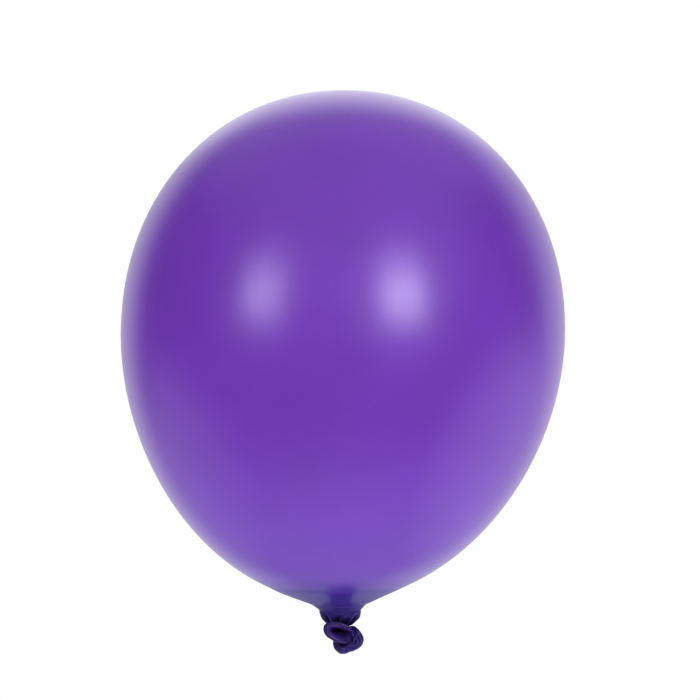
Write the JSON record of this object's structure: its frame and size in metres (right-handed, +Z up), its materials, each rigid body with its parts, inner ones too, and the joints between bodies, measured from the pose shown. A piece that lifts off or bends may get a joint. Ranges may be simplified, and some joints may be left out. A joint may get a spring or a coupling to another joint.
{
  "type": "latex balloon",
  "caption": "Inflated teardrop latex balloon with a gathered neck tied in an overhand knot and a rolled lip round its open mouth.",
  "frame": {"origin": "the tie: the waist between the gathered neck and the knot, on the neck's axis", "axes": "+Z up through the crown of the balloon, -Y out of the open mouth, +X to the right seen from the mouth's side"},
  "size_m": [0.28, 0.28, 0.3548],
  "materials": {
    "stretched_film": "pearl satin",
    "neck_film": "pearl satin",
    "slack_latex": "satin",
    "lip_latex": "satin"
  },
  "bodies": {
    "envelope": {"body_film": "stretched_film"},
    "taper": {"neck_taper": "stretched_film"},
    "neck": {"neck_bulb": "neck_film", "neck_pleats": "neck_film"},
    "knot": {"neck_strand": "slack_latex", "knot_loop": "slack_latex", "knot_wrap": "slack_latex", "tail_strand": "slack_latex"},
    "mouth": {"mouth_skirt": "slack_latex", "rolled_lip": "lip_latex"}
  },
  "joints": [
    {"name": "neck_sway", "type": "hinge", "parent": "envelope", "child": "taper", "pos_m": [0, 0, 0.013], "axis": [0, 1, 0], "range_deg": [-20, 20], "stiffness_Nm_per_rad": 0.002},
    {"name": "neck_nod", "type": "hinge", "parent": "taper", "child": "neck", "pos_m": [0, 0, 0.011], "axis": [1, 0, 0], "range_deg": [-20, 20], "stiffness_Nm_per_rad": 0.002},
    {"name": "knot_twist", "type": "hinge", "parent": "neck", "child": "knot", "pos_m": [0, 0, 0], "axis": [0, 0, 1], "range_deg": [-90, 90], "stiffness_Nm_per_rad": 0.0005},
    {"name": "mouth_flap", "type": "hinge", "parent": "knot", "child": "mouth", "pos_m": [0.003, -0.0075, -0.0074], "axis": [0.9397, 0, -0.342], "range_deg": [0, 30], "stiffness_Nm_per_rad": 0.0002}
  ]
}
